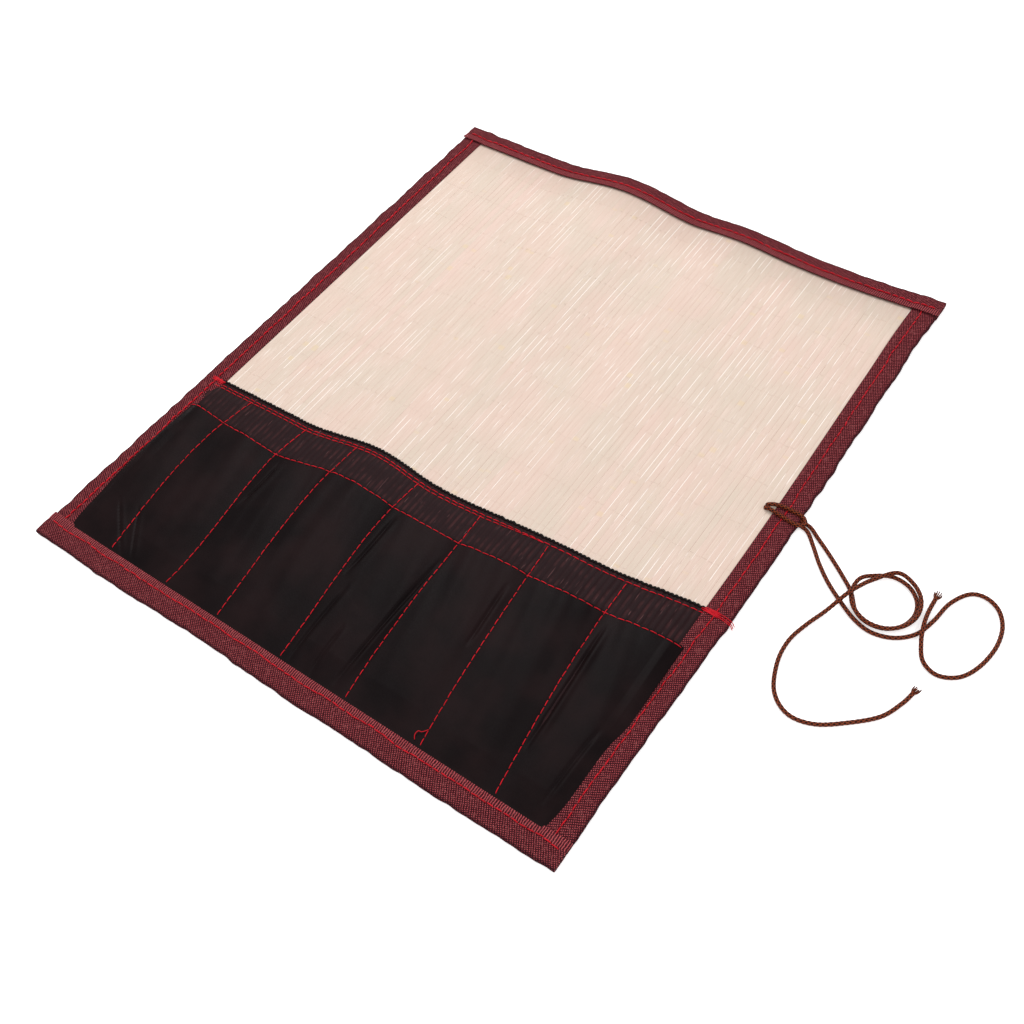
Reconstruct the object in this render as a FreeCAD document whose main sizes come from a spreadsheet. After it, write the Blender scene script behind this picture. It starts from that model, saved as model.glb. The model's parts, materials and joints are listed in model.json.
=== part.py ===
import FreeCAD, Part
import math
import os

import Sketcher

# A roll-up brush case: a mat of bamboo slats bound with folded tape, with a row of eight cloth
# pockets sewn along its front half and a tie cord hitched round its right edge.
#
# Frame: +X runs across the slats to the cord's edge, +Y along the slats to the back, +Z up.
# The origin is the centre of the right binding's underside. The mat lies flat on the table.
#
# The mat rolls up from its left edge, so it is built as sixteen panels of six slats. A hinge line
# lies between neighbouring panels, level with the top of the binding tape. Hinge lines fall in turn
# on a pocket's middle and on the stitched divider between two pockets.

PANELS = 16

DIMENSIONS = [
    ("mat_length", 360.0, "front edge to back edge, over the tapes"),
    ("slats_per_panel", 6, "slats between two hinge lines"),
    ("slat_pitch", 3.15, "slat centre to slat centre"),
    ("slat_width", 2.85, "one slat across"),
    ("slat_thick", 1.2, "one slat from back to face"),
    ("slat_bevel", 0.3, "bevel on a slat's upper long edges"),
    ("tape_thick", 0.5, "one layer of binding tape"),
    ("side_tape", 13.0, "left and right tapes, fold to inner edge"),
    ("side_fold", 1.3, "thickness of the side tapes' fold"),
    ("end_tape", 12.5, "front and back tapes, fold to inner edge"),
    ("end_fold", 1.0, "thickness of the front and back tapes' fold"),
    ("cut_gap", 0.2, "gap between the stretches of two panels"),
    ("lining_reach", 125.0, "front edge of the mat to the lining's upper edge"),
    ("lining_thick", 0.25, "lining cloth"),
    ("mouth_reach", 104.0, "front edge of the mat to the pockets' mouths"),
    ("cloth_thick", 0.3, "pocket front cloth"),
    ("pocket_rise", 5.0, "pocket front cloth above the lining"),
    ("pocket_ramp", 4.0, "width over which the cloth rises beside a divider"),
    ("pocket_foot", 0.6, "width of the cloth where it is sewn down"),
    ("pocket_part", 2.4, "half of the parting that lets a pocket fold at its middle"),
    ("cord_thick", 2.2, "tie cord"),
    ("hitch_place", 16.5, "hitch, towards the back from the mat's middle"),
    ("hitch_spread", 5.0, "between the centres of the hitch's two strands"),
    ("hitch_reach", 17.0, "length of the hitch's straight strands"),
]


def make_sheet(doc):
    """Put the driving dimensions in a spreadsheet, one alias for each."""
    sheet = doc.addObject("Spreadsheet::Sheet", "dims")
    for row, (alias, value, meaning) in enumerate(DIMENSIONS, start=1):
        sheet.set("A%d" % row, meaning)
        sheet.set("B%d" % row, str(value))
        sheet.setAlias("B%d" % row, alias)
    doc.recompute()
    return sheet


# Heights of the layers above the table, as expressions.
SLAT_UNDER = "dims.tape_thick"
SLAT_TOP = "(dims.tape_thick + dims.slat_thick)"
TAPE_TOP = "(2 * dims.tape_thick + dims.slat_thick)"
LINING_TOP = "(dims.tape_thick + dims.slat_thick + dims.lining_thick)"

PANEL_WIDTH = "(dims.slats_per_panel * dims.slat_pitch)"
MAT_FRONT = "(-dims.mat_length / 2)"
INSIDE_END_TAPE = "(-dims.mat_length / 2 + dims.end_tape + dims.cut_gap)"


def panel_left(number):
    """The left side of a panel, as an expression. Panel 16 is the one with the cord."""
    steps = PANELS + 1 - number
    return "dims.side_tape / 2 - dims.side_fold - %d * %s" % (steps, PANEL_WIDTH)


def origin_plane(body, role):
    """One of a body's own origin planes, found by its role."""
    return next(feature for feature in body.Origin.OriginFeatures if feature.Role == role)


def outline(body, role, name, corners):
    """Sketch a closed outline whose corners are pairs of expressions on an origin plane."""
    sketch = body.newObject("Sketcher::SketchObject", name)
    sketch.AttachmentSupport = [(origin_plane(body, role), "")]
    sketch.MapMode = "FlatFace"
    places = [(sketch.evalExpression(across), sketch.evalExpression(up)) for across, up in corners]
    places = [FreeCAD.Vector(float(across), float(up), 0) for across, up in places]
    count = len(corners)
    for edge in range(count):
        line = Part.LineSegment(places[edge], places[(edge + 1) % count])
        sketch.addGeometry(line, False)
    for edge in range(count):
        sketch.addConstraint(Sketcher.Constraint("Coincident", edge, 2, (edge + 1) % count, 1))
    for edge, (across, up) in enumerate(corners):
        for kind, expression, value in (
            ("DistanceX", across, places[edge].x),
            ("DistanceY", up, places[edge].y),
        ):
            index = sketch.addConstraint(Sketcher.Constraint(kind, -1, 1, edge, 1, value))
            sketch.setExpression("Constraints[%d]" % index, expression)
    return sketch


def place(thing, across="0", along="0", up="0"):
    """Bind a sub-part's place to the sheet."""
    thing.setExpression("Placement.Base.x", across)
    thing.setExpression("Placement.Base.y", along)
    thing.setExpression("Placement.Base.z", up)


def make_slats(doc, number):
    """Six bamboo slats: one bevelled bar along the mat, repeated at the slats' pitch."""
    body = doc.addObject("PartDesign::Body", "slats_%02d" % number)
    left = "(dims.slat_pitch - dims.slat_width) / 2"
    right = "(dims.slat_pitch + dims.slat_width) / 2"
    corners = [
        (left, SLAT_UNDER),
        (right, SLAT_UNDER),
        (right, SLAT_TOP + " - dims.slat_bevel"),
        (right + " - dims.slat_bevel", SLAT_TOP),
        (left + " + dims.slat_bevel", SLAT_TOP),
        (left, SLAT_TOP + " - dims.slat_bevel"),
    ]
    section = outline(body, "XZ_Plane", "slat_section", corners)
    bar = body.newObject("PartDesign::Pad", "slat_bar")
    bar.Profile = section
    bar.SideType = "Symmetric"
    bar.setExpression("Length", "dims.mat_length - 2 * dims.end_fold")
    row = body.newObject("PartDesign::LinearPattern", "slat_row")
    row.Originals = [bar]
    row.Direction = (section, ["H_Axis"])
    row.setExpression("Length", "(dims.slats_per_panel - 1) * dims.slat_pitch")
    row.setExpression("Occurrences", "dims.slats_per_panel")
    body.Tip = row
    place(body, across=panel_left(number))
    return body


def fold_outline(body, role, name, width, fold, outer, inward):
    """A tape folded over an edge: two flat layers joined by the fold at the outer side."""
    sign = "+" if inward > 0 else "-"
    inner_edge = "%s %s %s" % (outer, sign, width)
    fold_inside = "%s %s %s" % (outer, sign, fold)
    corners = [
        (outer, "0"),
        (inner_edge, "0"),
        (inner_edge, SLAT_UNDER),
        (fold_inside, SLAT_UNDER),
        (fold_inside, SLAT_TOP),
        (inner_edge, SLAT_TOP),
        (inner_edge, TAPE_TOP),
        (outer, TAPE_TOP),
    ]
    return outline(body, role, name, corners)


def make_end_bindings(doc, number):
    """One panel's stretch of the front tape, and the back tape's as its mirror image."""
    body = doc.addObject("PartDesign::Body", "end_binding_%02d" % number)
    section = fold_outline(
        body, "YZ_Plane", "fold_section", "dims.end_tape", "dims.end_fold", MAT_FRONT, 1
    )
    stretch = body.newObject("PartDesign::Pad", "front_stretch")
    stretch.Profile = section
    length = PANEL_WIDTH + " - dims.cut_gap"
    left = panel_left(number) + " + dims.cut_gap / 2"
    if number in (1, PANELS):
        # The outermost stretches run on over the side tapes' folds to the mat's corners.
        length += " + dims.side_fold + dims.cut_gap / 2"
    if number == 1:
        left += " - dims.side_fold - dims.cut_gap / 2"
    stretch.setExpression("Length", length)
    mirror = body.newObject("PartDesign::Mirrored", "back_stretch")
    mirror.Originals = [stretch]
    mirror.MirrorPlane = (origin_plane(body, "XZ_Plane"), [""])
    body.Tip = mirror
    place(body, across=left)
    return body


def make_side_binding(doc, label, outer, inward):
    """A side tape, from the front tape's inner edge to the back tape's."""
    body = doc.addObject("PartDesign::Body", label)
    section = fold_outline(
        body, "XZ_Plane", "fold_section", "dims.side_tape", "dims.side_fold", "0", inward
    )
    stretch = body.newObject("PartDesign::Pad", "side_stretch")
    stretch.Profile = section
    stretch.SideType = "Symmetric"
    stretch.setExpression("Length", "dims.mat_length - 2 * (dims.end_tape + dims.cut_gap)")
    place(body, across=outer)
    return body


def upright_wedge(doc, name, low, high, top_low, top_high, rise):
    """A Part wedge turned so that it narrows upwards. Corners are (across, along) expressions."""
    wedge = doc.addObject("Part::Wedge", name)
    # The wedge narrows along its own Y, so a quarter turn about X stands it up, and its Z then
    # runs towards the front: distances along the mat change sign.
    wedge.setExpression("Xmin", low[0])
    wedge.setExpression("Xmax", high[0])
    wedge.setExpression("X2min", top_low[0])
    wedge.setExpression("X2max", top_high[0])
    wedge.setExpression("Zmin", "-(%s)" % high[1])
    wedge.setExpression("Zmax", "-(%s)" % low[1])
    wedge.setExpression("Z2min", "-(%s)" % top_high[1])
    wedge.setExpression("Z2max", "-(%s)" % top_low[1])
    wedge.Ymin = 0
    wedge.setExpression("Ymax", rise)
    wedge.Placement.Rotation = FreeCAD.Rotation(FreeCAD.Vector(1, 0, 0), 90)
    wedge.setExpression("Placement.Base.z", LINING_TOP)
    return wedge


def make_pocket(doc, number):
    """Half a pocket: the lining's strip on the slats, and the front cloth arched over it.

    The cloth rises from the divider (or the side tape) and from the front tape, and is open at the
    mouth and at the pocket's middle, where the other half meets it.
    """
    name = "pocket_%02d" % number
    divider_on_left = number % 2 == 1
    near = "dims.cut_gap / 2"
    far = PANEL_WIDTH + " - dims.cut_gap / 2"
    under_tape = "(dims.side_tape - dims.side_fold + dims.cut_gap)"
    if number == 1:
        near = under_tape
    if number == PANELS:
        far = "%s - %s" % (PANEL_WIDTH, under_tape)

    lining = doc.addObject("Part::Box", name + "_lining")
    lining.setExpression("Length", "%s - (%s)" % (far, near))
    lining.setExpression("Width", "dims.lining_reach - dims.end_tape - dims.cut_gap")
    lining.setExpression("Height", "dims.lining_thick")
    place(lining, across=near, along=INSIDE_END_TAPE, up=SLAT_TOP)

    mouth = MAT_FRONT + " + dims.mouth_reach"
    beyond = " + dims.pocket_ramp"
    inner_rise = "dims.pocket_rise - dims.cloth_thick"
    lean = "dims.pocket_ramp * (%s) / dims.pocket_rise" % inner_rise
    front_foot = INSIDE_END_TAPE + " + dims.pocket_foot"
    if divider_on_left:
        edge = PANEL_WIDTH + " - dims.pocket_part"
        outer = [near, edge, near + " + dims.pocket_ramp", edge]
        inside = near + " + dims.pocket_foot"
        inner = [inside, edge + beyond, "%s + %s" % (inside, lean), edge + beyond]
    else:
        edge = "dims.pocket_part"
        outer = [edge, far, edge, far + " - dims.pocket_ramp"]
        inside = far + " - dims.pocket_foot"
        inner = [edge + " - dims.pocket_ramp", inside, edge + " - dims.pocket_ramp"]
        inner.append("%s - %s" % (inside, lean))

    arch = upright_wedge(
        doc,
        name + "_arch",
        (outer[0], INSIDE_END_TAPE),
        (outer[1], mouth),
        (outer[2], INSIDE_END_TAPE + " + dims.pocket_ramp"),
        (outer[3], mouth),
        "dims.pocket_rise",
    )
    room = upright_wedge(
        doc,
        name + "_room",
        (inner[0], front_foot),
        (inner[1], mouth + beyond),
        (inner[2], "%s + %s" % (front_foot, lean)),
        (inner[3], mouth + beyond),
        inner_rise,
    )
    cloth = doc.addObject("Part::Cut", name + "_cloth")
    cloth.Base = arch
    cloth.Tool = room

    pocket = doc.addObject("Part::Compound", name)
    pocket.Links = [lining, cloth]
    place(pocket, across=panel_left(number))
    return pocket


def make_hitch(doc):
    """The cord's hitch: two strands over the right tape, joined by a bend outside the edge."""
    height = TAPE_TOP + " + dims.cord_thick / 2"
    start = "-dims.side_tape / 2 - dims.cord_thick"
    pieces = []
    for name, side in (("hitch_front", "-"), ("hitch_back", "+")):
        along = "dims.hitch_place %s dims.hitch_spread / 2" % side
        strand = doc.addObject("Part::Cylinder", name)
        strand.setExpression("Radius", "dims.cord_thick / 2")
        strand.setExpression("Height", "dims.hitch_reach")
        strand.Placement.Rotation = FreeCAD.Rotation(FreeCAD.Vector(0, 1, 0), 90)
        place(strand, across=start, along=along, up=height)
        # Where a strand dives between two slats it turns straight down.
        turn = doc.addObject("Part::Sphere", name + "_turn")
        turn.setExpression("Radius", "dims.cord_thick / 2")
        place(turn, across=start, along=along, up=height)
        drop = doc.addObject("Part::Cylinder", name + "_drop")
        drop.setExpression("Radius", "dims.cord_thick / 2")
        drop.setExpression("Height", "dims.cord_thick / 2 + dims.tape_thick")
        place(drop, across=start, along=along, up=SLAT_TOP)
        pieces += [strand, turn, drop]
    bend = doc.addObject("Part::Torus", "hitch_bend")
    bend.setExpression("Radius1", "dims.hitch_spread / 2")
    bend.setExpression("Radius2", "dims.cord_thick / 2")
    bend.Angle3 = 180
    bend.Placement.Rotation = FreeCAD.Rotation(FreeCAD.Vector(0, 0, 1), -90)
    place(bend, across=start + " + dims.hitch_reach", along="dims.hitch_place", up=height)
    hitch = doc.addObject("Part::MultiFuse", "cord_hitch")
    hitch.Shapes = pieces + [bend]
    return hitch


def cord_along(doc, label, sheet, places):
    """A round cord of straight mitred lengths through places of (across, along, layers below)."""
    thick = sheet.cord_thick
    # One cord lying on another is a cord's thickness and a little slack higher.
    layer = thick * 1.06
    points = [FreeCAD.Vector(x, y, thick / 2 + layers * layer) for x, y, layers in places]
    path = Part.makePolygon(points)
    ring = Part.Circle(points[0], points[1] - points[0], thick / 2)
    profile = Part.Wire([ring.toShape()])
    mitred = 1
    cord = doc.addObject("Part::Feature", label)
    cord.Shape = path.makePipeShell([profile], True, False, mitred)
    cord.Placement = FreeCAD.Placement()
    return cord


def ring_turn(centre, from_angle, to_angle, from_radius, to_radius, layers, count):
    """Places round the cord's coil, from one angle to another while its radius changes."""
    places = []
    for step in range(count):
        share = step / (count - 1)
        angle = math.radians(from_angle + share * (to_angle - from_angle))
        radius = from_radius + share * (to_radius - from_radius)
        height = layers[0] + share * (layers[1] - layers[0])
        places.append((centre[0] + radius * math.cos(angle), centre[1] + radius * math.sin(angle), height))
    return places


COIL = (58.5, -1.8)


def make_coiled_tail(doc, sheet):
    """The tail that runs nearly twice round the coil, then sweeps out in a long curve."""
    lead_in = [(13.9, 16.7, 0), (26.5, 8.5, 0), (36.5, 1.4, 0), (44.0, -4.6, 0)]
    first_turn = ring_turn(COIL, 232, 492, 13.6, 13.6, (0, 0.2), 12)
    second_turn = ring_turn(COIL, 520, 816, 14.4, 15.2, (1, 1), 14)
    way_out = [
        (49.5, 3.4, 1.4),
        (46.6, -3.0, 2.0),
        (43.6, -9.4, 1.7),
        (39.6, -19.5, 0.3),
        (35.6, -30.0, 0),
        (33.0, -41.0, 0),
        (34.0, -53.0, 0),
        (39.5, -66.0, 0),
        (49.0, -72.3, 0),
        (60.0, -70.6, 0),
        (71.0, -62.8, 0),
        (81.0, -53.0, 0),
        (85.6, -43.0, 0),
        (87.5, -35.5, 0),
    ]
    return cord_along(doc, "cord_coiled_tail", sheet, lead_in + first_turn + second_turn + way_out)


def make_looped_tail(doc, sheet):
    """The tail that passes under the coil's front, then closes one open loop beside it."""
    places = [
        (14.4, 13.6, 0),
        (19.5, 8.0, 0),
        (26.0, 1.0, 0),
        (34.0, -6.0, 0),
        (43.0, -12.0, 0),
        (52.0, -17.0, 0),
        (60.5, -18.8, 0),
        (69.5, -16.2, 0),
        (76.5, -9.6, 0),
        (79.8, 0.0, 0),
        (82.0, 12.0, 0),
        (87.0, 20.8, 0),
        (93.5, 23.0, 0),
        (100.5, 20.0, 0),
        (105.3, 12.5, 0),
        (106.8, 2.0, 0),
        (104.8, -10.0, 0),
        (100.0, -19.0, 0),
        (92.0, -23.1, 0),
        (84.5, -20.5, 0.2),
        (80.2, -13.5, 0.8),
        (77.6, -5.5, 1.1),
        (76.3, 3.0, 0.4),
        (76.0, 12.0, 0),
    ]
    return cord_along(doc, "cord_looped_tail", sheet, places)


def failed(thing):
    """True where an object of the document did not recompute."""
    return "Invalid" in thing.State or "Error" in thing.State


def main():
    doc = FreeCAD.newDocument("brush_roll_case")
    sheet = make_sheet(doc)
    subparts = []
    for number in range(1, PANELS + 1):
        subparts.append(make_slats(doc, number))
        subparts.append(make_end_bindings(doc, number))
        subparts.append(make_pocket(doc, number))
    left_fold = "dims.side_tape / 2 - 2 * dims.side_fold - %d * %s" % (PANELS, PANEL_WIDTH)
    subparts.append(make_side_binding(doc, "left_binding", left_fold, 1))
    subparts.append(make_side_binding(doc, "right_binding", "dims.side_tape / 2", -1))
    subparts.append(make_hitch(doc))
    subparts.append(make_coiled_tail(doc, sheet))
    subparts.append(make_looped_tail(doc, sheet))
    doc.recompute()

    broken = [thing.Name for thing in doc.Objects if failed(thing)]
    if broken:
        raise RuntimeError("these objects did not build: " + ", ".join(broken))
    for part in subparts:
        if part.Shape.isNull() or not part.Shape.isValid():
            raise RuntimeError("this sub-part has no valid shape: " + part.Label)

    os.makedirs("parts", exist_ok=True)
    for part in subparts:
        part.Shape.exportStep("parts/%s.step" % part.Label)


main()
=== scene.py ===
import json
import math
import random

import bmesh
import bpy
import numpy as np
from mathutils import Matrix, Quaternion, Vector, noise


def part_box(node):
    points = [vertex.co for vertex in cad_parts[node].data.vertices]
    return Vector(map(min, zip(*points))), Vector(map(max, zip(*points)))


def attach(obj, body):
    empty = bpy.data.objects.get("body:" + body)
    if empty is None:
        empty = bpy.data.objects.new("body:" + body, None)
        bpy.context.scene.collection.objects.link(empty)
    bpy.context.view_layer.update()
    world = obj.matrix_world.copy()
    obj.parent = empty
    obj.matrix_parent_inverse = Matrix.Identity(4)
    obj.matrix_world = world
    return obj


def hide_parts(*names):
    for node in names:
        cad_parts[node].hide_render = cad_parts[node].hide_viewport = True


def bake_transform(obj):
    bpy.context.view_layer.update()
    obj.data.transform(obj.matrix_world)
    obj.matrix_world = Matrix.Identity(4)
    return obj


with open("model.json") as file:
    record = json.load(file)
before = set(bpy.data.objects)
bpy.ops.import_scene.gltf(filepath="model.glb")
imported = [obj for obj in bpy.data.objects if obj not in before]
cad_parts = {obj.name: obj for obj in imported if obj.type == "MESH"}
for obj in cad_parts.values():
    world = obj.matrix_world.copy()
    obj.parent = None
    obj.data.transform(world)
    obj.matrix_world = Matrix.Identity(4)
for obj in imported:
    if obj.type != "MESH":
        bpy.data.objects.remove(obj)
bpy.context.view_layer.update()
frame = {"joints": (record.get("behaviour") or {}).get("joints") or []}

# The mat's pieces are built in millimetres and flat, then lifted by the mat's wave. Every long
# piece is cut at the panels' middles, so that each stretch holds one hinge.

MM = 0.001
PANELS = 16
SLATS_PER_PANEL = 6


def box_mm(node):
    """A CAD node's lowest and highest corners in millimetres."""
    low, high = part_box(node)
    return np.array(low) / MM, np.array(high) / MM


hinge_of = {joint["name"]: joint for joint in frame["joints"]}
HINGES = [hinge_of["roll_%02d" % number]["pos_m"][0] / MM for number in range(1, PANELS)]
PANEL = HINGES[1] - HINGES[0]
PITCH = PANEL / SLATS_PER_PANEL
LEFT, FRONT = box_mm("end_binding_01")[0][:2]
RIGHT, BACK = box_mm("end_binding_16")[1][:2]
WIDTH = RIGHT - LEFT
LENGTH = BACK - FRONT
SLATS_LOW, SLATS_HIGH = box_mm("slats_08")
SLAT_UNDER, SLAT_TOP = SLATS_LOW[2], SLATS_HIGH[2]
SLAT_MIDDLE = (SLAT_TOP + SLAT_UNDER) / 2
BINDING_LOW, BINDING_HIGH = box_mm("right_binding")
TAPE_TOP = BINDING_HIGH[2]
SIDE_TAPE = BINDING_HIGH[0] - BINDING_LOW[0]
END_TAPE = BINDING_LOW[1] - FRONT
MIDDLES = [HINGES[0] + (number - 1.5) * PANEL for number in range(1, PANELS + 1)]
CUTS = [LEFT] + MIDDLES + [RIGHT]

# Sewing: the distance from stitch to stitch, a stitch's own length, and the threads' radii in the
# cloth, along the right and front tapes, along the left and back tapes, and under the tapes.
STITCH_PITCH = 3.9
STITCH_LONG = 3.65
THREAD = 0.24
TAPE_THREAD = 0.30
PLUMP_THREAD = 0.38
UNDER_THREAD = 0.20
# The cord's braid repeats over this length.
BRAID_PITCH = 2.2


# ---------------- shapes of the mat


def hump(offset, half_width):
    """A smooth hump, 1 at the middle and 0 beyond half_width."""
    share = np.clip(np.abs(offset) / half_width, 0, 1)
    return np.cos(share * math.pi / 2) ** 2


# The mat's humps: each one's distance from the left edge, half width, and height at the back.
HUMPS = [(117, 50, 6.0), (190, 34, 1.5), (10, 55, 0.6), (305, 48, 0.4)]


def wave(x, y):
    """How far the mat stands off the table. The slats are straight, so it grows evenly to the back."""
    rise = 0.0
    for middle, half_width, height in HUMPS:
        rise = rise + height * hump(x - LEFT - middle, half_width)
    return rise * np.clip((y - FRONT) / LENGTH, 0, 1.02)


def through(x, places):
    """A smooth line through (share of the width, value) places."""
    shares = np.array([place[0] for place in places])
    values = np.array([place[1] for place in places])
    share = np.clip((np.asarray(x, float) - LEFT) / WIDTH, 0, 1)
    index = np.clip(np.searchsorted(shares, share) - 1, 0, len(shares) - 2)
    local = (share - shares[index]) / (shares[index + 1] - shares[index])
    local = local * local * (3 - 2 * local)
    return values[index] * (1 - local) + values[index + 1] * local


def front_bow(x):
    """How far the front tape's fold bellies out in scallops between its tighter stitches."""
    places = [(0, 1.2), (0.2, 2.0), (0.37, 1.0), (0.54, 2.3), (0.64, 1.7), (0.75, 2.1), (1, 1.1)]
    return through(x, places)


def right_bow(y):
    """The right tape swings out along the mat's middle."""
    return 2.0 * hump(y - FRONT - 165, 155) - 0.6 * hump(y - FRONT - 330, 40)


def back_bow(x):
    """The back tape is sewn a little further in towards its right end."""
    return 1.8 * hump(x - LEFT - 250, 60)


def mouth_line(x):
    """The mouth of the pockets: its distance back from the front edge wanders with the sewing."""
    places = [(0, 100), (0.24, 98), (0.36, 104), (0.54, 102.6), (0.72, 106.2), (1, 110.8)]
    return FRONT + through(x, places)


def lining_line(x):
    """The lining's upper edge."""
    places = [(0, 120.6), (0.22, 121.8), (0.38, 126.8), (0.5, 124.2), (0.78, 128.4), (1, 134)]
    return FRONT + through(x, places)


# Each divider leans to the left on its way back and wanders, as a sewn line does. Its places are
# its distances from the mat's left edge at the rows below.
DIVIDER_ROWS = [12, 40, 76, 118]
DIVIDERS = [
    (40.2, 35.4, 31.4, 35.3),
    (77.2, 75.7, 70.7, 72.0),
    (110.5, 106.6, 102.2, 102.4),
    (149.6, 146.2, 141.9, 142.4),
    (187.5, 184.0, 181.5, 180.0),
    (228.6, 224.5, 220.6, 217.0),
    (267.4, 263.6, 259.8, 257.8),
]


def divider(index, y):
    """Where a divider is at y: one smooth curve through its four places."""
    place = np.zeros(np.shape(y))
    back = np.asarray(y, float) - FRONT
    for own, value in zip(DIVIDER_ROWS, DIVIDERS[index]):
        weight = value
        for other in DIVIDER_ROWS:
            if other != own:
                weight = weight * (back - other) / (own - other)
        place = place + weight
    return LEFT + place


POCKET_EDGES = len(DIVIDERS) + 2
CLOTH_LEFT = LEFT + 8.4
CLOTH_RIGHT = RIGHT - 8.6


def pocket_edge(index, y):
    """The pockets' sides from left to right: the left tape, seven dividers, the right tape."""
    if index == 0:
        return CLOTH_LEFT + 0 * y
    if index == POCKET_EDGES - 1:
        return CLOTH_RIGHT + 0 * y
    return divider(index - 1, y)


def soft_noise(x, y, seed, x_scale, y_scale):
    """Smooth noise from -1 to 1 at each of some places."""
    flat_x, flat_y = np.broadcast_arrays(np.asarray(x, float), np.asarray(y, float))
    values = [
        noise.noise(Vector((a / x_scale, b / y_scale, seed)))
        for a, b in zip(flat_x.ravel(), flat_y.ravel())
    ]
    return np.array(values).reshape(flat_x.shape)


def line_noise(run, seed, scale):
    """Smooth noise from -1 to 1 along a line."""
    return soft_noise(run, 0, seed, scale, 1.0)


# How full each pocket is, from left to right.
FULLNESS = [1.25, 0.75, 1.0, 0.8, 1.15, 0.85, 1.0, 1.1]


def slack(x, y):
    """The share of full slack at a place, 0 at a divider and 1 in a pocket's middle, times its pocket's
    fullness.
    """
    x, y = np.broadcast_arrays(np.asarray(x, float), np.asarray(y, float))
    share = np.zeros(x.shape)
    fullness = np.ones(x.shape)
    for index in range(POCKET_EDGES - 1):
        low, high = pocket_edge(index, y), pocket_edge(index + 1, y)
        inside = (x >= low) & (x <= high)
        local = np.clip((x - low) / (high - low), 0, 1)
        lean = 0.8 + 0.4 * ((index * 37) % 5) / 4
        arch = np.sin(math.pi * local**lean) ** 0.75
        share = np.where(inside, arch, share)
        fullness = np.where(inside, FULLNESS[index], fullness)
    return share * fullness


LINING_REST = SLAT_TOP + 0.22


def lining_top(x, y):
    """The sheer lining lies on the slats and shows their ridges."""
    ridge = 0.10 * np.cos(2 * math.pi * (x - CUTS[1]) / PITCH + math.pi)
    puff = 0.55 * slack(x, y) * np.clip((y - mouth_line(x) + 6) / 8, 0, 1)
    puff = puff * np.clip((lining_line(x) - 3 - y) / 6, 0, 1)
    ripple = 0.16 * soft_noise(x, y, 4.0, 5.0, 14.0)
    return LINING_REST + ridge + puff + ripple


# Creases in the cloth: where each starts and ends on the mat, and how deep it is.
CREASES = [
    ((178.5, 14), (180.0, 92), 1.1),
    ((154.5, 12), (151.5, 58), 0.7),
    ((167.5, 12), (163.5, 40), 0.5),
    ((265.5, 34), (263.0, 104), 1.2),
    ((52.0, 13), (34.0, 38), 0.45),
    ((47.0, 12), (22.0, 36), 0.35),
    ((215.5, 60), (214.0, 98), 0.7),
    ((75.5, 62), (76.0, 96), 0.8),
    ((145.5, 60), (147.0, 100), 0.8),
    ((285.0, 18), (288.5, 60), 0.6),
]


def creases(x, y):
    """How far the creases pull the cloth down."""
    depth = 0.0
    for (x_start, y_start), (x_end, y_end), deep in CREASES:
        share = (y - FRONT - y_start) / (y_end - y_start)
        middle = LEFT + x_start + (x_end - x_start) * share
        middle = middle + 0.8 * np.sin(3.0 * share + x_start)
        strength = np.clip(share * 4, 0, 1) * np.clip((1 - share) * 4, 0, 1)
        off = x - middle
        valley = np.exp(-(off**2) / 0.9)
        ridge = 0.45 * np.exp(-((off - 2.2) ** 2) / 3)
        depth = depth + deep * strength * (valley - ridge)
    return depth


def cloth_top(x, y):
    """The pocket cloth: tight at the front tape and the dividers, slack in between and at the mouth."""
    along = np.clip((y - FRONT - END_TAPE) / 88.0, 0, 1)
    near_tape = np.clip((y - FRONT - END_TAPE + 1.5) / 14.0, 0, 1)
    full = (0.7 + 1.5 * along**1.3) * near_tape**0.8
    folds = 0.75 * soft_noise(x + 0.22 * y, y, 1.0, 9.0, 60.0) * (0.35 + 0.75 * along) * near_tape
    share = slack(x, y)
    inside = np.clip(share * 1.6, 0, 1)
    height = LINING_REST + 0.35 + full * share + folds * inside - creases(x, y)
    # Beside the dividers the slack cloth reaches over the side tapes, and is tucked in elsewhere.
    over_left = hump(y - FRONT - 70, 44) * np.clip(1 - (x - CLOTH_LEFT) / 9, 0, 1)
    over_right = hump(y - FRONT - 92, 52) * np.clip(1 - (CLOTH_RIGHT - x) / 9, 0, 1)
    tucked = np.clip(1 - np.minimum(x - CLOTH_LEFT, CLOTH_RIGHT - x) / 5, 0, 1)
    return height + 1.5 * over_left + 1.3 * over_right - 0.75 * tucked


# ---------------- mesh building


class Shape:
    """Vertices, faces and marks of one piece, in millimetres. Marks say where each vertex is on
    its own material, such as along and across a tape, and stay put when the mat rolls."""

    def __init__(self):
        self.points, self.marks, self.faces, self.finish, self.normals = [], [], [], [], []
        self.count = 0

    def add(self, points, marks, faces, finish=0, normals=None):
        self.points.append(np.asarray(points, float).reshape(-1, 3))
        self.marks.append(np.asarray(marks, float).reshape(-1, 3))
        if normals is not None:
            self.normals.append(np.asarray(normals, float).reshape(-1, 3))
        for face in faces:
            self.faces.append([corner + self.count for corner in face])
            self.finish.append(finish)
        self.count += len(self.points[-1])

    def build(self, name, materials):
        mesh = bpy.data.meshes.new(name)
        points = np.concatenate(self.points) * MM
        mesh.from_pydata(points.tolist(), [], self.faces)
        mesh.polygons.foreach_set("use_smooth", [True] * len(mesh.polygons))
        mesh.polygons.foreach_set("material_index", self.finish)
        mark = mesh.attributes.new("mark", "FLOAT_VECTOR", "POINT")
        mark.data.foreach_set("vector", np.concatenate(self.marks).astype(np.float32).ravel())
        for material in materials:
            mesh.materials.append(material)
        if self.normals:
            mesh.normals_split_custom_set_from_vertices(np.concatenate(self.normals).tolist())
        mesh.update()
        piece = bpy.data.objects.new(name, mesh)
        bpy.context.scene.collection.objects.link(piece)
        return piece


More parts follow.
